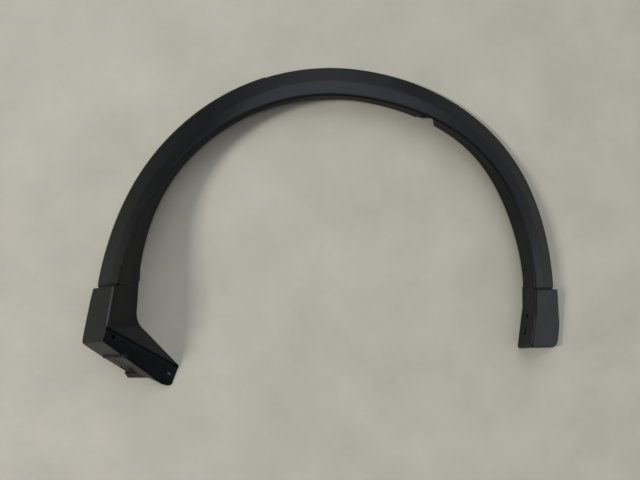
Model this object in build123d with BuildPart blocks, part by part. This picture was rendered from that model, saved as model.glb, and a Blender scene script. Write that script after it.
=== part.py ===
"""Wheel arch trim: one moulded skin of black plastic, modelled face up as it lies on a floor.

The arch is described round the wheel centre: angle 90 is the crown, 180 the left leg and 0 the right leg.
"""

import os
from math import cos, radians, sin, sqrt, tan

from build123d import *

# Skin
WALL = 2.8
CORNER_RADIUS = 3.2
RIDGE_RADIUS = 30.0
EDGE_RADIUS = 0.9

# Plan of the crease, the edge where the face turns down into the wheel opening
ARCH_RADIUS = 374.0
SHOULDER_BULGE = 13.0
SHOULDER_ANGLE = 40.0
SHOULDER_SPREAD = 42.0
LEFT_FLARE = 5.0
RIGHT_FLARE = 5.5
FLARE_ANGLE = 25.0
LEFT_STEP_ANGLE = 176.0
RIGHT_STEP_ANGLE = 1.7
STATIONS = 17

# Height of the crease above the floor
CROWN_HEIGHT = 36.0
LEFT_RISE = 56.0
LEFT_RISE_POWER = 2.3
RIGHT_RISE = 14.0

# Face, from the crease to the outer edge, in two facets that meet at a soft ridge
FACE_WIDTH = 69.5
LEFT_WIDENING = 2.0
SHOULDER_NARROWING = 5.5
INNER_FACET = 29.0
CROWN_SLOPE = 26.0
LEG_SLOPE = 37.0
RIDGE_ANGLE = 14.0
FADED_RIDGE_ANGLE = 4.0
RIDGE_FADE_START = 100.0
RIDGE_FADE_END = 125.0

# Wall down into the wheel opening
CROWN_WALL_DEPTH = 21.0
LEFT_WALL_GAIN = 70.0
RIGHT_WALL_GAIN = 23.0
WALL_DRAFT = 3.0
SHOULDER_DRAFT = 5.0
RIGHT_DRAFT = 2.0

# Sealing lip along the left part of the outer edge
LIP_END_ANGLE = 107.0
LIP_REACH = 3.0
LIP_THICKNESS = 1.6
LIP_STATIONS = 8

# Steps between the band and its two ends
LEFT_STEP_SKEW = 16.0
RIGHT_STEP_SKEW = -8.0
SKEW_ANGLE = 36.0
NOSE_RADIUS = 7.0
NOSE_LENGTH = 6.0
NOSE_STATIONS = 4
GROOVE_WIDTH = 2.4
GROOVE_DEPTH = 1.8

# Left end: a raised pad, a bevel below it and a ramp that runs down to the foot
LEFT_PAD_PROUD = 6.0
LEFT_PAD_RISE = 4.5
LEFT_PAD_DROP = 43.0
LEFT_OVERLAP = 34.0
LEFT_SIDE_RADIUS = 80.0
LEFT_CORNER_RADIUS = 15.0
LUG_RADIUS = 11.0
FOOT_CORNER_RADIUS = 8.0
FOOT_TIP_RADIUS = 4.0
BEND_RADIUS = 38.0
BEND_TOP_RADIUS = 8.0
END_ROLL_RADIUS = 6.0
LEFT_RIM_DEPTH = 3.6

# Left end: recess of the ramp, shadow line along it, and holes in it
RAMP_LIP = 1.5
RAMP_RECESS = 2.0
RAMP_LINE_WIDTH = 3.2
RAMP_LINE_DEPTH = 4.2
RAMP_LINE_SKIN = 1.8
FOOT_HOLE_DIAMETER = 7.0
UPPER_SLOT_WIDTH = 4.5
UPPER_SLOT_LENGTH = 9.0
POCKET_DEPTH = 16.0
POCKET_WALL = 1.8

# Left end: rolled bead, slot, window and tab of the lug under the bevel
BEAD_RADIUS = 3.6
LUG_SLOT_WIDTH = 2.6
LUG_WINDOW_LENGTH = 16.0
LUG_WINDOW_WIDTH = 6.0
TAB_LENGTH = 36.0
TAB_WIDTH = 22.0
TAB_THICKNESS = 3.2
TAB_TILT = 50.0

# Right end: a raised pad and a closed end wall
RIGHT_PAD_PROUD = 3.0
RIGHT_PAD_DROP = 41.0
RIGHT_OVERLAP = 31.0
RIGHT_BEND_RADIUS = 60.0
RIGHT_SIDE_RADIUS = 80.0
RIGHT_TIP_RADIUS = 6.0
RIGHT_CORNER_RADIUS = 16.0
RIGHT_ROLL_RADIUS = 3.0
RIGHT_RIM_DEPTH = 7.8

# Holes in the right wall: distance from the step along the leg, and height above the floor
SCREW_HOLE_DIAMETER = 7.0
SCREW_HOLE_DROP = 56.3
SCREW_HEIGHT = 22.5
SLOT_LENGTH = 13.0
SLOT_SPACING = 30.4
DRAIN_HOLE_DIAMETER = 3.5
DRAIN_HOLE_RISE = 32.3

# Notch in the wall, right of the crown
NOTCH_ANGLE = 61.0
NOTCH_MOUTH = 40.0
NOTCH_TOP = 19.0
NOTCH_LAND = 5.5
NOTCH_RADIUS = 2.5

# Clip blades and gussets on the back
BLADE_ANGLES = (166, 147, 128, 109, 90, 72, 52, 33, 15)
BLADE_LENGTH = 22.0
BLADE_THICKNESS = 3.0
BLADE_HEIGHT = 12.0
BARB_LENGTH = 14.0
BARB_SIZE = 1.2
GUSSET_ANGLES = (171, 157, 138, 119, 99, 81, 43, 24, 8)
GUSSET_THICKNESS = 2.0
GUSSET_REACH = 26.0
GUSSET_DROP_SHARE = 0.7

# Overlap of features that are moulded together, and run-out of cuts
WELD = 0.6
RUN_OUT = 6.0


def ease(share):
    """Smooth step from 0 to 1."""
    share = min(1.0, max(0.0, share))
    return share * share * (3 - 2 * share)


def window(angle, centre, spread):
    """Smooth hump, 1 at the centre and 0 a spread away."""
    share = min(1.0, abs(angle - centre) / spread)
    return cos(radians(90 * share)) ** 2


def left_share(angle):
    """0 at the crown, 1 at the left step."""
    return max(0.0, (angle - 90) / (LEFT_STEP_ANGLE - 90))


def right_share(angle):
    """0 at the crown, 1 at the right step."""
    return max(0.0, (90 - angle) / (90 - RIGHT_STEP_ANGLE))


def crease_point(angle):
    """Point of the crease in plan."""
    radius = ARCH_RADIUS + SHOULDER_BULGE * window(angle, SHOULDER_ANGLE, SHOULDER_SPREAD)
    radius += LEFT_FLARE * max(0.0, (angle - 180 + FLARE_ANGLE) / FLARE_ANGLE) ** 2
    radius += RIGHT_FLARE * max(0.0, (FLARE_ANGLE - angle) / FLARE_ANGLE) ** 2
    return Vector(radius * cos(radians(angle)), radius * sin(radians(angle)))


def crease_height(angle):
    """Height of the crease above the floor."""
    left = LEFT_RISE * left_share(angle) ** LEFT_RISE_POWER
    right = RIGHT_RISE * sin(radians(90 * right_share(angle))) ** 2
    return CROWN_HEIGHT + left + right


def step_skew(angle):
    """Turn of the section planes that lines the band's ends up with the skewed steps, in degrees."""
    left = LEFT_STEP_SKEW * ease((angle - LEFT_STEP_ANGLE + SKEW_ANGLE) / SKEW_ANGLE)
    right = RIGHT_STEP_SKEW * ease((RIGHT_STEP_ANGLE + SKEW_ANGLE - angle) / SKEW_ANGLE)
    return left + right


def station(angle):
    """Section plane across the arch: x outward, y up, z along the arch from left to right."""
    nudge = 0.01
    travel = crease_point(angle - nudge) - crease_point(angle + nudge)
    travel = travel.normalized().rotate(Axis.Z, step_skew(angle))
    outward = Vector(-travel.Y, travel.X)
    point = crease_point(angle)
    return Plane((point.X, point.Y, crease_height(angle)), x_dir=outward, z_dir=travel)


def face_width(angle):
    """Width of the face from the crease to the outer edge."""
    narrowing = SHOULDER_NARROWING * window(angle, SHOULDER_ANGLE, SHOULDER_SPREAD)
    return FACE_WIDTH - narrowing + LEFT_WIDENING * left_share(angle) ** 4


def face_slopes(angle):
    """Slopes of the inner and the outer facet, in degrees below level."""
    legs = sin(radians(90 * min(1.0, abs(angle - 90) / 80))) ** 2
    slope = CROWN_SLOPE + (LEG_SLOPE - CROWN_SLOPE) * legs
    fade = ease((angle - RIDGE_FADE_START) / (RIDGE_FADE_END - RIDGE_FADE_START))
    ridge = RIDGE_ANGLE + (FADED_RIDGE_ANGLE - RIDGE_ANGLE) * fade
    inner_share = INNER_FACET / face_width(angle)
    return slope - (1 - inner_share) * ridge, slope + inner_share * ridge


def wall_depth(angle):
    """Depth of the wall from the crease to its free edge."""
    left = LEFT_WALL_GAIN * left_share(angle) ** 3
    right = RIGHT_WALL_GAIN * sin(radians(90 * right_share(angle)))
    return CROWN_WALL_DEPTH + left + right


def wall_draft(angle):
    """Lean of the wall towards the wheel centre, in degrees."""
    shoulder = SHOULDER_DRAFT * window(angle, SHOULDER_ANGLE - 12, SHOULDER_SPREAD / 2)
    return WALL_DRAFT + shoulder + RIGHT_DRAFT * right_share(angle)


def along(slope, length):
    """Step outward along a slope, given in degrees below level."""
    return Vector(length * cos(radians(slope)), -length * sin(radians(slope)))


def under(slope, depth):
    """Step under a slope, square to it."""
    return Vector(-depth * sin(radians(slope)), -depth * cos(radians(slope)))


def down_wall(angle, length):
    """Step down the wall from the crease."""
    draft = radians(wall_draft(angle))
    return Vector(-length * sin(draft), -length * cos(draft))


def behind_wall(angle, depth):
    """Step through the wall from its wheel side, square to it."""
    draft = radians(wall_draft(angle))
    return Vector(depth * cos(draft), -depth * sin(draft))


def face_line(angle, sink=0.0):
    """Crease, ridge and outer edge of the face at one station, sunk square to the face."""
    inner, outer = face_slopes(angle)
    crease = down_wall(angle, sink / cos(radians(inner - wall_draft(angle))))
    ridge = crease + along(inner, INNER_FACET)
    edge = ridge + along(outer, face_width(angle) - INNER_FACET)
    return crease, ridge, edge


def skin_section(angle, sink=0.0):
    """Corner points and corner radii of the skin's closed outline at one station."""
    inner, outer = face_slopes(angle)
    crease, ridge, edge = face_line(angle, sink)
    foot = down_wall(angle, wall_depth(angle))
    half_corner = radians(90 + wall_draft(angle) - inner) / 2
    into = (along(inner, 1) + down_wall(angle, 1)).normalized()
    corners = {
        foot: EDGE_RADIUS,
        crease: CORNER_RADIUS,
        ridge: RIDGE_RADIUS,
        edge: EDGE_RADIUS,
        edge + under(outer, WALL): 0,
        ridge + under((inner + outer) / 2, WALL): RIDGE_RADIUS - WALL,
        crease + into * (WALL / sin(half_corner)): 0,
        foot + behind_wall(angle, WALL): 0,
    }
    return [(point.X, point.Y) for point in corners], list(corners.values())


def lip_section(angle):
    """Outline of the thin lip that runs on from the outer edge."""
    outer = face_slopes(angle)[1]
    edge = face_line(angle)[2]
    top = edge + under(outer, WALL - LIP_THICKNESS)
    corners = [
        top + along(outer, -LIP_REACH),
        top + along(outer, LIP_REACH),
        top + along(outer, LIP_REACH) + under(outer, LIP_THICKNESS),
        top + along(outer, -LIP_REACH) + under(outer, LIP_THICKNESS),
    ]
    return [(point.X, point.Y) for point in corners]


def gusset_section(angle):
    """Outline of a gusset between the back of the face and the back of the wall."""
    inner = face_slopes(angle)[0]
    crease = face_line(angle)[0]
    skin = WALL - WELD
    drop = GUSSET_DROP_SHARE * wall_depth(angle)
    corners = [
        crease + under(inner, skin) + behind_wall(angle, skin),
        crease + down_wall(angle, drop) + behind_wall(angle, skin),
        crease + down_wall(angle, drop) + behind_wall(angle, skin + GUSSET_THICKNESS),
        crease + along(inner, GUSSET_REACH) + under(inner, skin + GUSSET_THICKNESS),
        crease + along(inner, GUSSET_REACH) + under(inner, skin),
    ]
    return [(point.X, point.Y) for point in corners]


def blade_plane(angle):
    """Plane on the back of the outer facet: x along the arch, z away from the back."""
    plane = station(angle)
    outer = face_slopes(angle)[1]
    crease, ridge, edge = face_line(angle)
    middle = (ridge + edge) * 0.5 + under(outer, WALL - WELD)
    origin = plane.from_local_coords(middle)
    away = plane.from_local_coords(middle + under(outer, 1)) - origin
    return Plane(origin, x_dir=plane.z_dir, z_dir=away)


def outline_face(plane, corners, radii=None):
    """Flat face with a closed outline, its corners rounded."""
    with BuildSketch(plane) as outline:
        with BuildLine():
            FilletPolyline(*corners, radius=radii or [0] * len(corners), close=True)
        make_face()
    return outline.sketch


def shares(count):
    """Evenly spaced numbers from 0 to 1."""
    return [number / (count - 1) for number in range(count)]


def angles_between(first, last, count):
    """Evenly spaced angles, both ends included."""
    return [first + (last - first) * share for share in shares(count)]


def top_plane(first, second, third):
    """Plane through three points with its normal upward."""
    first, second, third = Vector(first), Vector(second), Vector(third)
    normal = (second - first).cross(third - first)
    if normal.Z < 0:
        normal = normal * -1
    return Plane(first, z_dir=normal)


def inset(points, distance):
    """Outline with every side moved inward, for points that run counter-clockwise."""
    moved = []
    count = len(points)
    for number in range(count):
        before, here, after = (Vector(points[(number + shift) % count]) for shift in (-1, 0, 1))
        first = (here - before).normalized()
        second = (after - here).normalized()
        normal = Vector(-first.Y - second.Y, first.X + second.X)
        moved.append(here + normal * (distance / (1 + first.dot(second))))
    return [(point.X, point.Y) for point in moved]


def shifted(points, origin):
    """Outline moved in plan so that its own origin lies on a point."""
    return [(origin.X + x, origin.Y + y) for x, y in points]


def height_on(plane, point):
    """Height of a plane over a point in plan."""
    normal = plane.z_dir
    offset = Vector(point[0], point[1]) - Vector(plane.origin.X, plane.origin.Y)
    return plane.origin.Z - (normal.X * offset.X + normal.Y * offset.Y) / normal.Z


def lifted(plane, point):
    """Point in plan, lifted straight up onto a plane."""
    return Vector(*point, height_on(plane, point))


def plan_on(plane, points):
    """Points in plan, lifted straight up onto a plane and given in its own coordinates."""
    local = [plane.to_local_coords(lifted(plane, point)) for point in points]
    return [(point.X, point.Y) for point in local]


def strip(start, end, left, right):
    """Outline of a straight strip with its own width on either side of a line."""
    start, end = Vector(start), Vector(end)
    side = (end - start).normalized().rotate(Axis.Z, 90)
    corners = [start + side * left, start - side * right, end - side * right, end + side * left]
    return [(point.X, point.Y) for point in corners]


def lies_on(edge, plane):
    """Whether an edge lies in a plane."""
    return all(abs(plane.to_local_coords(edge @ share).Z) < 0.01 for share in (0, 0.5, 1))


os.makedirs("parts", exist_ok=True)

# Left end in plan, measured from the crease at the step: on the floor, and at the top, where the walls lean
left_step = station(LEFT_STEP_ANGLE)
left_origin = left_step.origin
left_bulkhead = left_step.offset(-NOSE_LENGTH)
left_reach = face_line(LEFT_STEP_ANGLE)[2].X
left_top = left_origin.Z + 2 * LEFT_PAD_PROUD + LEFT_PAD_RISE
outer_side = [(6.5 - left_reach, LEFT_OVERLAP), (-19.5 - left_reach, -68), (-26 - left_reach, -118)]
lug_side = [(-55, -150), (-18, -185), (29, -192), (66, -214)]
left_floor = shifted([(4, LEFT_OVERLAP), *outer_side, *lug_side, (80, -172), (-3.5, -86)], left_origin)
left_head = shifted([(1, LEFT_OVERLAP), *outer_side, *lug_side, (76, -176), (-16, -77)], left_origin)
left_radii = [0, 0, LEFT_SIDE_RADIUS, LEFT_CORNER_RADIUS]
left_radii += [LUG_RADIUS, LUG_RADIUS, LUG_RADIUS, FOOT_CORNER_RADIUS, FOOT_TIP_RADIUS]
left_levels = [(left_floor, 0, BEND_RADIUS), (left_head, left_top, BEND_TOP_RADIUS)]

# Planes that bound the left end
pad_start, pad_end, pad_outer = shifted([(-1.5, -8), (-17.6, -102), (-1.5 - left_reach, -20)], left_origin)
pad_height = left_origin.Z + LEFT_PAD_PROUD / cos(radians(LEG_SLOPE))
pad = top_plane(
    (*pad_start, pad_height),
    (*pad_end, pad_height + LEFT_PAD_RISE),
    (*pad_outer, pad_height - LEFT_PAD_DROP),
)
corner, lug, ramp_start = shifted([(-25.5 - left_reach, -116), (-18, -185), (-15, -75)], left_origin)
ramp_end, foot_corner = shifted([(79, -174), (66, -214)], left_origin)
bevel = top_plane((*corner, height_on(pad, corner)), (*pad_end, height_on(pad, pad_end)), (*lug, WALL))
ramp = top_plane((*ramp_start, height_on(pad, ramp_start)), (*ramp_end, WALL), (*foot_corner, WALL / 2))
ramp_floor = ramp.offset(-RAMP_RECESS)
rim_start, rim_end = shifted([(-4.5 - left_reach, -8), (-24.5 - left_reach, -114)], left_origin)
rim_inside = shifted([(-28, -86)], left_origin)[0]
left_back = top_plane(
    (*rim_start, height_on(pad, rim_start) - LEFT_RIM_DEPTH),
    (*rim_end, height_on(pad, rim_end) - LEFT_RIM_DEPTH),
    (*rim_inside, 0),
)

with BuildPart() as left_end:
    loft(
        [outline_face(Plane.XY.offset(z), line, [*left_radii, bend]) for line, z, bend in left_levels],
        ruled=True,
    )
    for cut in (left_bulkhead, pad, bevel, ramp):
        split(bisect_by=cut, keep=Keep.BOTTOM)
    split(bisect_by=left_back, keep=Keep.TOP)
    pad_edges = left_end.edges().filter_by(lambda edge: lies_on(edge, pad))
    fillet(pad_edges.filter_by(lambda edge: lies_on(edge, bevel)), END_ROLL_RADIUS)
    pad_edges = left_end.edges().filter_by(lambda edge: lies_on(edge, pad))
    free_edges = pad_edges.filter_by(lambda edge: not lies_on(edge, left_bulkhead))
    fillet(free_edges.filter_by(lambda edge: edge.center().X > pad_end[0] - CORNER_RADIUS), CORNER_RADIUS)

with BuildPart() as left_core:
    core_radii = [max(0, radius - WALL) for radius in left_radii]
    loft(
        [
            outline_face(Plane.XY.offset(z), inset(line, WALL), [*core_radii, bend + WALL])
            for line, z, bend in left_levels
        ],
        ruled=True,
    )
    for cut in (left_bulkhead, pad, bevel):
        split(bisect_by=cut.offset(-WALL), keep=Keep.BOTTOM)
    split(bisect_by=ramp.offset(-RAMP_LINE_DEPTH - RAMP_LINE_SKIN), keep=Keep.BOTTOM)

# Right end in plan, measured from the crease at the step
right_step = station(RIGHT_STEP_ANGLE)
right_origin = right_step.origin
right_bulkhead = right_step.offset(GROOVE_WIDTH)
right_reach = face_line(RIGHT_STEP_ANGLE)[2].X
right_top = right_origin.Z + 4 * RIGHT_PAD_PROUD
right_floor = shifted(
    [
        (right_reach - 0.5, RIGHT_OVERLAP),
        (-3, RIGHT_OVERLAP),
        (-2, -41),
        (-12, -124),
        (right_reach + 6.5, -122),
        (right_reach + 12, -78),
    ],
    right_origin,
)
right_head = shifted(
    [
        (right_reach - 1, RIGHT_OVERLAP),
        (0, RIGHT_OVERLAP),
        (0.5, -56),
        (-8, -107),
        (right_reach + 5.5, -105),
        (right_reach + 11, -78),
    ],
    right_origin,
)
right_radii = [0, 0, RIGHT_BEND_RADIUS, RIGHT_TIP_RADIUS, RIGHT_CORNER_RADIUS, RIGHT_SIDE_RADIUS]
right_core_radii = [max(0, radius - WALL) for radius in right_radii]
right_levels = [(right_floor, 0), (right_head, right_top)]

# Planes that bound the right end
pad_near, pad_far, pad_side = shifted([(0.5, -3), (-7, -104), (right_reach + 7, -51)], right_origin)
right_pad_height = right_origin.Z + RIGHT_PAD_PROUD / cos(radians(LEG_SLOPE))
right_pad = top_plane(
    (*pad_near, right_pad_height),
    (*pad_far, right_pad_height),
    (*pad_side, right_pad_height - RIGHT_PAD_DROP),
)
side_start, side_end = shifted([(right_reach + 4, -20), (right_reach + 7, -96)], right_origin)
side_inside = shifted([(25, -60)], right_origin)[0]
right_back = top_plane(
    (*side_start, height_on(right_pad, side_start) - RIGHT_RIM_DEPTH),
    (*side_end, height_on(right_pad, side_end) - RIGHT_RIM_DEPTH),
    (*side_inside, 0),
)

with BuildPart() as right_end:
    loft([outline_face(Plane.XY.offset(z), line, right_radii) for line, z in right_levels], ruled=True)
    split(bisect_by=right_bulkhead, keep=Keep.TOP)
    split(bisect_by=right_pad, keep=Keep.BOTTOM)
    split(bisect_by=right_back, keep=Keep.TOP)
    pad_edges = right_end.edges().filter_by(lambda edge: lies_on(edge, right_pad))
    fillet(pad_edges.filter_by(lambda edge: not lies_on(edge, right_bulkhead)), RIGHT_ROLL_RADIUS)

with BuildPart() as right_core:
    loft(
        [outline_face(Plane.XY.offset(z), inset(line, WALL), right_core_radii) for line, z in right_levels],
        ruled=True,
    )
    split(bisect_by=right_bulkhead.offset(WALL), keep=Keep.TOP)
    split(bisect_by=right_pad.offset(-WALL), keep=Keep.BOTTOM)

# Groove between the band and the right end, its underside just clear of the end's rim
with BuildPart() as groove:
    groove_line = outline_face(right_step.offset(-WELD), *skin_section(RIGHT_STEP_ANGLE, GROOVE_DEPTH))
    extrude(groove_line, amount=GROOVE_WIDTH + 2 * WELD)
    split(bisect_by=right_back.offset(EDGE_RADIUS), keep=Keep.TOP)

with BuildPart() as backing:
    # Blades that take the fixing clips
    for angle in BLADE_ANGLES:
        blade = blade_plane(angle)
        with BuildSketch(blade):
            Rectangle(BLADE_LENGTH, BLADE_THICKNESS)
        extrude(amount=BLADE_HEIGHT)
        with BuildSketch(blade.offset(BLADE_HEIGHT - 2 * BARB_SIZE)):
            Rectangle(BARB_LENGTH, BLADE_THICKNESS + 2 * BARB_SIZE)
        extrude(amount=BARB_SIZE)
    # Gussets in the corner between face and wall
    for angle in GUSSET_ANGLES:
        extrude(outline_face(station(angle), gusset_section(angle)), amount=GUSSET_THICKNESS / 2, both=True)

with BuildPart() as trim:
    # Band: the skin's section carried round the arch between the two steps
    band_angles = angles_between(LEFT_STEP_ANGLE, RIGHT_STEP_ANGLE, STATIONS)
    loft([outline_face(station(angle), *skin_section(angle)) for angle in band_angles])
    # Thin lip along the left part of the outer edge
    lip_angles = angles_between(LEFT_STEP_ANGLE, LIP_END_ANGLE, LIP_STATIONS)
    loft([outline_face(station(angle), lip_section(angle)) for angle in lip_angles])
    # Rounded nose at the left step
    nose = []
    for share in shares(NOSE_STATIONS):
        run = (NOSE_LENGTH + WELD) * share
        drop = NOSE_RADIUS - sqrt(NOSE_RADIUS**2 - run**2)
        plane = left_step.offset(-run).move(Pos(run * tan(radians(LEFT_STEP_SKEW)), 0, 0))
        nose.append(outline_face(plane, *skin_section(LEFT_STEP_ANGLE, drop)))
    loft(nose)
    # Groove at the right step
    add(groove.part)
    # Notch in the wall
    notch_station = station(NOTCH_ANGLE)
    notch = Plane(notch_station.origin, x_dir=notch_station.z_dir, z_dir=notch_station.x_dir)
    notch_depth = wall_depth(NOTCH_ANGLE)
    notch_lean = (NOTCH_MOUTH - NOTCH_TOP) / 2 / (notch_depth - NOTCH_LAND)
    mouth = NOTCH_MOUTH / 2 + notch_lean * RUN_OUT
    notch_outline = [(-mouth, notch_depth + RUN_OUT), (-NOTCH_TOP / 2, NOTCH_LAND)]
    notch_outline += [(NOTCH_TOP / 2, NOTCH_LAND), (mouth, notch_depth + RUN_OUT)]
    notch_face = outline_face(notch.offset(-2 * RUN_OUT), notch_outline, [0, NOTCH_RADIUS, NOTCH_RADIUS, 0])
    extrude(notch_face, amount=3 * RUN_OUT, mode=Mode.SUBTRACT)
    # Back and ends
    add(backing.part)
    add(left_end.part)
    add(left_core.part, mode=Mode.SUBTRACT)
    add(right_end.part)
    add(right_core.part, mode=Mode.SUBTRACT)
    # Recess of the ramp and the shadow line along its upper side
    wall_edge = strip(left_head[-1], left_floor[-2], 0, RAMP_LIP)
    recess_corners = shifted([(90, -260), (-70, -260), (-70, -92)], left_origin)
    recess = plan_on(ramp, [wall_edge[1], wall_edge[2], *recess_corners])
    extrude(outline_face(ramp, recess), amount=-RAMP_RECESS, mode=Mode.SUBTRACT)
    shadow_line = strip(recess[0], recess[1], 0, RAMP_LINE_WIDTH)
    extrude(outline_face(ramp, shadow_line), amount=-RAMP_LINE_DEPTH, mode=Mode.SUBTRACT)
    # Screw hole in the foot, and a small slot with a pocket under it at the top of the ramp
    foot_hole, upper_slot = shifted([(62.7, -186.3), (-11, -98.3)], left_origin)
    with BuildSketch():
        with Locations(foot_hole):
            Circle(FOOT_HOLE_DIAMETER / 2)
    extrude(amount=left_origin.Z, mode=Mode.SUBTRACT)
    pocket_floor = Plane(lifted(ramp_floor, upper_slot)).offset(-POCKET_DEPTH)
    with BuildPart(mode=Mode.PRIVATE) as pocket:
        with BuildSketch(pocket_floor.offset(-POCKET_WALL)):
            SlotOverall(UPPER_SLOT_LENGTH + 2 * POCKET_WALL, UPPER_SLOT_WIDTH + 2 * POCKET_WALL, rotation=90)
        extrude(amount=POCKET_DEPTH + POCKET_WALL + RUN_OUT)
        split(bisect_by=ramp_floor.offset(-WELD), keep=Keep.BOTTOM)
    add(pocket.part)
    with BuildSketch(pocket_floor):
        SlotOverall(UPPER_SLOT_LENGTH, UPPER_SLOT_WIDTH, rotation=90)
    extrude(amount=POCKET_DEPTH + 2 * RUN_OUT, mode=Mode.SUBTRACT)
    # Lug under the bevel: rolled bead, slot, window and tab
    bead_line = shifted([(-50.7, -145.8), (6.8, -135.1)], left_origin)
    bead_start, bead_end = (lifted(bevel, point) for point in bead_line)
    with BuildSketch(Plane(bead_start, z_dir=bead_end - bead_start)):
        Circle(BEAD_RADIUS)
    extrude(amount=(bead_end - bead_start).length)
    slot_line = plan_on(bevel, shifted([(-30, -151), (-1, -174)], left_origin))
    lug_slot = strip(*slot_line, LUG_SLOT_WIDTH / 2, LUG_SLOT_WIDTH / 2)
    extrude(outline_face(bevel, lug_slot), amount=-RUN_OUT, mode=Mode.SUBTRACT)
    window_line = plan_on(bevel, shifted([(-28, -169.8), (-18, -179.4)], left_origin))
    window_start, window_aim = (Vector(*point) for point in window_line)
    window_end = window_start + (window_aim - window_start).normalized() * LUG_WINDOW_LENGTH
    lug_window = strip(window_start, window_end, LUG_WINDOW_WIDTH / 2, LUG_WINDOW_WIDTH / 2)
    extrude(outline_face(bevel, lug_window), amount=-RUN_OUT, mode=Mode.SUBTRACT)
    tab_foot = shifted([(-1, -193)], left_origin)[0]
    tab_face = (0, -sin(radians(TAB_TILT)), cos(radians(TAB_TILT)))
    with BuildSketch(Plane((*tab_foot, 0), x_dir=(1, 0, 0), z_dir=tab_face)):
        RectangleRounded(TAB_LENGTH, TAB_WIDTH, EDGE_RADIUS, align=(Align.CENTER, Align.MIN))
    extrude(amount=TAB_THICKNESS)
    # Holes in the right wall, square to the wheel's side
    holes_origin = (right_origin.X - 2 * RUN_OUT, right_origin.Y, SCREW_HEIGHT)
    holes = Plane(holes_origin, x_dir=(0, 1, 0), z_dir=(1, 0, 0))
    with BuildSketch(holes):
        with Locations((-SCREW_HOLE_DROP, 0)):
            Circle(SCREW_HOLE_DIAMETER / 2)
        with Locations((-SCREW_HOLE_DROP - SLOT_SPACING, 0)):
            SlotOverall(SLOT_LENGTH, SCREW_HOLE_DIAMETER)
        with Locations((DRAIN_HOLE_RISE, 0)):
            Circle(DRAIN_HOLE_DIAMETER / 2)
    extrude(amount=4 * RUN_OUT, mode=Mode.SUBTRACT)

# Origin at the middle of the box round the trim, on the floor
limits = trim.part.bounding_box()
middle = limits.center()
placed = Pos(-middle.X, -middle.Y, -limits.min.Z) * trim.part
placed.label = "wheel_arch_trim"
export_step(placed, "parts/wheel_arch_trim.step")
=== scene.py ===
"""Wheel arch trim lying face up on a pale floor, seen from straight above."""

from math import radians

import bmesh
import bpy
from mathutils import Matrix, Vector


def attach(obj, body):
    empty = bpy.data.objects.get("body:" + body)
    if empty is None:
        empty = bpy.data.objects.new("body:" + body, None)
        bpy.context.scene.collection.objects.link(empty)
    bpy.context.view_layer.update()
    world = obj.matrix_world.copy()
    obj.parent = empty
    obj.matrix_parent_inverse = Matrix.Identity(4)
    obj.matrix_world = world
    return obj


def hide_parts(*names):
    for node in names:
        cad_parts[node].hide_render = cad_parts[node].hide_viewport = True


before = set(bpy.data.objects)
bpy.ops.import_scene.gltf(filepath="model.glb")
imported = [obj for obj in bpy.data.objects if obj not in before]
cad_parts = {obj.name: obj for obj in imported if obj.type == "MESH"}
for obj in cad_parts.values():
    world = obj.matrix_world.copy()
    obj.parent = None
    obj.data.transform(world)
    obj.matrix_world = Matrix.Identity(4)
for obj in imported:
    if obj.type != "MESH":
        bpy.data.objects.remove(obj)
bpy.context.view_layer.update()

# Camera straight above, in metres, with its lens and sensor in millimetres
CAMERA_PLACE = (-0.0131, -0.0257, 0.943)
LENS = 27.06
SENSOR_WIDTH = 36

# Skin of the trim: mesh clean-up in metres, and the angle from which an edge is drawn crisp
MERGE_DISTANCE = 0.00001
CRISP_ANGLE = radians(24)

# Black plastic: colours of its mottle, range of its roughness, level and tint of its reflections
PLASTIC_DARK = (0.0030, 0.0032, 0.0036)
PLASTIC_LIGHT = (0.0042, 0.0045, 0.0050)
PLASTIC_ROUGHNESS = (0.30, 0.38)
PLASTIC_SHINE = 0.135
PLASTIC_TINT = (0.88, 0.94, 1.0)

# Moulded grain: cells, pits and mottle per metre with their softness and detail, and heights in metres
GRAIN_CELLS = 900
CELL_SOFTNESS = 0.6
GRAIN_PITS = 2600
PIT_DETAIL = 2.0
PIT_SHARE = 0.5
MOTTLE_SCALE = 14
MOTTLE_DETAIL = 4.0
GRAIN_HEIGHT = 0.0001
GRAIN_STRENGTH = 0.25

# Soft rounding in the shading of the moulding's edges, in metres
EDGE_ROUNDING = 0.005

# Part of a noise's range that is spread over the whole, so that a mottle reaches both its colours
NOISE_RANGE = (0.3, 0.7)

# Floor: half width in metres, colours, and clouds per metre with their detail and raggedness
FLOOR_REACH = 4
FLOOR_DARK = (0.302, 0.290, 0.248)
FLOOR_LIGHT = (0.360, 0.343, 0.293)
FLOOR_CLOUDS = 6
CLOUD_DETAIL = 6.0
CLOUD_RAGGEDNESS = 0.6
FLOOR_ROUGHNESS = 0.9

# Soft lamp on the left: place and size in metres, power in watts, colour
LAMP_PLACE = (-6.5, 0, 4.65)
LAMP_SIZE = 1.5
LAMP_POWER = 590
LAMP_COLOUR = (1.0, 0.97, 0.92)

# Dim room with bright patches: direction, cosine at which the patch ends, and strength in its middle
ROOM_COLOUR = (0.96, 0.99, 1.03)
ROOM_LEVEL = 0.04
CEILING = ((0.30, 0, 0.95), 0.88, 2.0)
FAR_WINDOW = ((0, 0.80, 0.60), 0.80, 3.7)
RIGHT_WINDOW = ((0.95, -0.28, 0.10), 0.87, 2.4)
RIGHT_WALL = ((0.85, 0.48, 0.22), 0.75, 0.9)


# Helpers for node trees

def new_material(name):
    """Empty node material with its Principled shader wired to the output."""
    material = bpy.data.materials.new(name)
    material.use_nodes = True
    tree = material.node_tree
    tree.nodes.clear()
    output = tree.nodes.new("ShaderNodeOutputMaterial")
    shader = tree.nodes.new("ShaderNodeBsdfPrincipled")
    tree.links.new(shader.outputs["BSDF"], output.inputs["Surface"])
    return material, tree, shader


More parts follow.
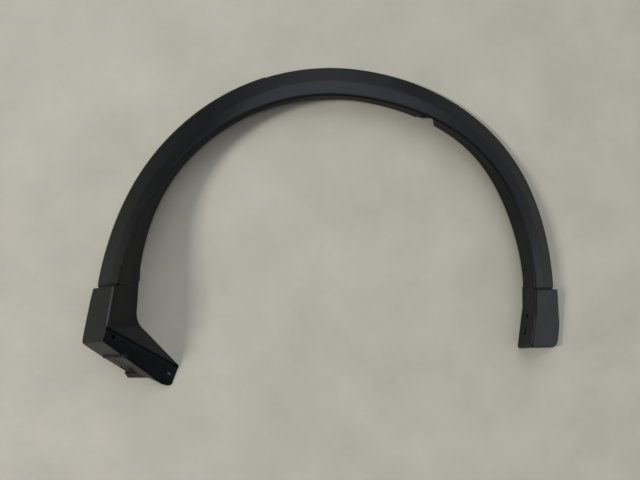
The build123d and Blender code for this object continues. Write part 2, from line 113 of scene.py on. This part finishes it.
def noise(tree, vector, scale, detail, roughness=0.5):
    """Noise texture on a vector socket."""
    node = tree.nodes.new("ShaderNodeTexNoise")
    node.inputs["Scale"].default_value = scale
    node.inputs["Detail"].default_value = detail
    node.inputs["Roughness"].default_value = roughness
    tree.links.new(vector, node.inputs["Vector"])
    return node.outputs["Fac"]


def remap(tree, value, low, high, to_low, to_high, curve="LINEAR"):
    """Value moved from one range into another, clamped."""
    node = tree.nodes.new("ShaderNodeMapRange")
    node.interpolation_type = curve
    node.inputs["From Min"].default_value = low
    node.inputs["From Max"].default_value = high
    node.inputs["To Min"].default_value = to_low
    node.inputs["To Max"].default_value = to_high
    tree.links.new(value, node.inputs["Value"])
    return node.outputs["Result"]


def combine(tree, operation, first, second):
    """Math node on two sockets or numbers."""
    node = tree.nodes.new("ShaderNodeMath")
    node.operation = operation
    for socket, value in zip(node.inputs, (first, second)):
        if isinstance(value, (int, float)):
            socket.default_value = value
        else:
            tree.links.new(value, socket)
    return node.outputs["Value"]


def blend_colours(tree, share, dark, light):
    """Colour between two colours."""
    node = tree.nodes.new("ShaderNodeMix")
    node.data_type = "RGBA"
    tree.links.new(share, node.inputs["Factor"])
    node.inputs["A"].default_value = (*dark, 1)
    node.inputs["B"].default_value = (*light, 1)
    return node.outputs["Result"]


# Materials

def moulded_grain():
    """Node group for a moulded grain: leathery cells with fine pits, and a slow mottle over them."""
    group = bpy.data.node_groups.new("moulded_grain", "ShaderNodeTree")
    group.interface.new_socket("Vector", in_out="INPUT", socket_type="NodeSocketVector")
    group.interface.new_socket("Height", in_out="OUTPUT", socket_type="NodeSocketFloat")
    group.interface.new_socket("Mottle", in_out="OUTPUT", socket_type="NodeSocketFloat")
    entry = group.nodes.new("NodeGroupInput")
    leave = group.nodes.new("NodeGroupOutput")
    place = entry.outputs["Vector"]
    cells = group.nodes.new("ShaderNodeTexVoronoi")
    cells.feature = "SMOOTH_F1"
    cells.inputs["Scale"].default_value = GRAIN_CELLS
    cells.inputs["Smoothness"].default_value = CELL_SOFTNESS
    group.links.new(place, cells.inputs["Vector"])
    pits = combine(group, "MULTIPLY", noise(group, place, GRAIN_PITS, PIT_DETAIL), PIT_SHARE)
    group.links.new(combine(group, "ADD", cells.outputs["Distance"], pits), leave.inputs["Height"])
    mottle = remap(group, noise(group, place, MOTTLE_SCALE, MOTTLE_DETAIL), *NOISE_RANGE, 0, 1)
    group.links.new(mottle, leave.inputs["Mottle"])
    return group


def black_plastic(grain):
    """Black grained plastic with a low, slightly uneven sheen and softly rounded edges."""
    material, tree, shader = new_material("black_grained_plastic")
    skin = tree.nodes.new("ShaderNodeGroup")
    skin.node_tree = grain
    tree.links.new(tree.nodes.new("ShaderNodeTexCoord").outputs["Object"], skin.inputs["Vector"])
    colour = blend_colours(tree, skin.outputs["Mottle"], PLASTIC_DARK, PLASTIC_LIGHT)
    tree.links.new(colour, shader.inputs["Base Color"])
    roughness = remap(tree, skin.outputs["Mottle"], 0, 1, *PLASTIC_ROUGHNESS)
    tree.links.new(roughness, shader.inputs["Roughness"])
    shader.inputs["Specular IOR Level"].default_value = PLASTIC_SHINE
    shader.inputs["Specular Tint"].default_value = (*PLASTIC_TINT, 1)
    bump = tree.nodes.new("ShaderNodeBump")
    bump.inputs["Strength"].default_value = GRAIN_STRENGTH
    bump.inputs["Distance"].default_value = GRAIN_HEIGHT
    tree.links.new(skin.outputs["Height"], bump.inputs["Height"])
    edges = tree.nodes.new("ShaderNodeBevel")
    edges.inputs["Radius"].default_value = EDGE_ROUNDING
    tree.links.new(edges.outputs["Normal"], bump.inputs["Normal"])
    tree.links.new(bump.outputs["Normal"], shader.inputs["Normal"])
    return material


def pale_floor():
    """Plain pale screed with faint clouds."""
    material, tree, shader = new_material("pale_floor")
    place = tree.nodes.new("ShaderNodeTexCoord").outputs["Object"]
    clouds = noise(tree, place, FLOOR_CLOUDS, CLOUD_DETAIL, CLOUD_RAGGEDNESS)
    share = remap(tree, clouds, *NOISE_RANGE, 0, 1)
    tree.links.new(blend_colours(tree, share, FLOOR_DARK, FLOOR_LIGHT), shader.inputs["Base Color"])
    shader.inputs["Roughness"].default_value = FLOOR_ROUGHNESS
    return material


# The trim's skin, made smooth from the moulding's own mesh

def smooth_trim(node):
    """Merged copy of the moulding, smooth on its curves and crisp on its edges."""
    mesh = node.data.copy()
    skin = bmesh.new()
    skin.from_mesh(mesh)
    bmesh.ops.remove_doubles(skin, verts=skin.verts, dist=MERGE_DISTANCE)
    bmesh.ops.dissolve_degenerate(skin, edges=skin.edges, dist=MERGE_DISTANCE / 2)
    for face in skin.faces:
        face.smooth = True
    for edge in skin.edges:
        edge.smooth = len(edge.link_faces) == 2 and edge.calc_face_angle() < CRISP_ANGLE
    skin.to_mesh(mesh)
    skin.free()
    trim = bpy.data.objects.new("trim_skin", mesh)
    bpy.context.collection.objects.link(trim)
    normals = trim.modifiers.new("even_shading", "WEIGHTED_NORMAL")
    normals.keep_sharp = True
    return trim


# Floor, light and camera

def add_floor():
    """Wide floor that the trim lies on."""
    mesh = bpy.data.meshes.new("floor")
    sheet = bmesh.new()
    bmesh.ops.create_grid(sheet, x_segments=1, y_segments=1, size=FLOOR_REACH)
    sheet.to_mesh(mesh)
    sheet.free()
    mesh.materials.append(pale_floor())
    floor = bpy.data.objects.new("floor", mesh)
    bpy.context.collection.objects.link(floor)


def add_lamp():
    """Soft square lamp on the left that points at the trim."""
    data = bpy.data.lights.new("left_lamp", "AREA")
    data.size = LAMP_SIZE
    data.energy = LAMP_POWER
    data.color = LAMP_COLOUR
    lamp = bpy.data.objects.new("left_lamp", data)
    bpy.context.collection.objects.link(lamp)
    lamp.location = LAMP_PLACE
    lamp.rotation_euler = (-Vector(LAMP_PLACE)).to_track_quat("-Z", "Y").to_euler()


def add_room():
    """Dim room with soft bright patches overhead, at the far side and on the right."""
    world = bpy.data.worlds.new("soft_room")
    bpy.context.scene.world = world
    world.use_nodes = True
    tree = world.node_tree
    direction = tree.nodes.new("ShaderNodeTexCoord").outputs["Generated"]
    level = ROOM_LEVEL
    for middle, end, strength in (CEILING, FAR_WINDOW, RIGHT_WINDOW, RIGHT_WALL):
        towards = tree.nodes.new("ShaderNodeVectorMath")
        towards.operation = "DOT_PRODUCT"
        towards.inputs[1].default_value = Vector(middle).normalized()
        tree.links.new(direction, towards.inputs[0])
        patch = remap(tree, towards.outputs["Value"], end, 1, 0, strength, "SMOOTHSTEP")
        level = combine(tree, "ADD", patch, level)
    background = tree.nodes["Background"]
    background.inputs["Color"].default_value = (*ROOM_COLOUR, 1)
    tree.links.new(level, background.inputs["Strength"])


def add_camera():
    """Camera straight above, as in the photograph."""
    data = bpy.data.cameras.new("camera")
    data.sensor_width = SENSOR_WIDTH
    data.lens = LENS
    camera = bpy.data.objects.new("camera", data)
    bpy.context.collection.objects.link(camera)
    camera.location = CAMERA_PLACE
    bpy.context.scene.camera = camera


trim = smooth_trim(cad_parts["wheel_arch_trim"])
trim.data.materials.clear()
trim.data.materials.append(black_plastic(moulded_grain()))
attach(trim, "root")
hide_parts("wheel_arch_trim")

add_floor()
add_lamp()
add_room()
add_camera()
bpy.context.scene.view_settings.view_transform = "Standard"
